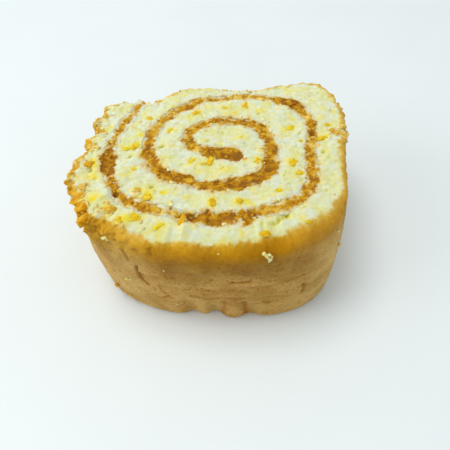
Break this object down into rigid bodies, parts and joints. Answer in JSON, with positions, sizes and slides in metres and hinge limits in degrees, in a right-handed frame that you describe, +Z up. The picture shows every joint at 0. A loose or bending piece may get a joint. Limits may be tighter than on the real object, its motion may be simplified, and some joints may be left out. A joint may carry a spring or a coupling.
{
  "type": "swiss roll cake",
  "caption": "Thick slice of rolled sponge cake lying on a cut face, with a coil of brown fruit filling and a browned outer skin.",
  "frame": {"origin": "centre of the bounding box, at the cut face the slice lies on", "axes": "+Z up, from the lower cut face to the upper one; +X along the slice's longest side; -Y towards the tall browned front"},
  "size_m": [0.0918, 0.0768, 0.0426],
  "materials": {
    "sponge": "dry open crumb, pale yellow, with a matt golden-brown skin on the outer side",
    "filling": "grainy moist fruit paste, amber brown, slightly glossy"
  },
  "bodies": {
    "root": {"sponge": "sponge", "filling": "filling"}
  },
  "joints": []
}
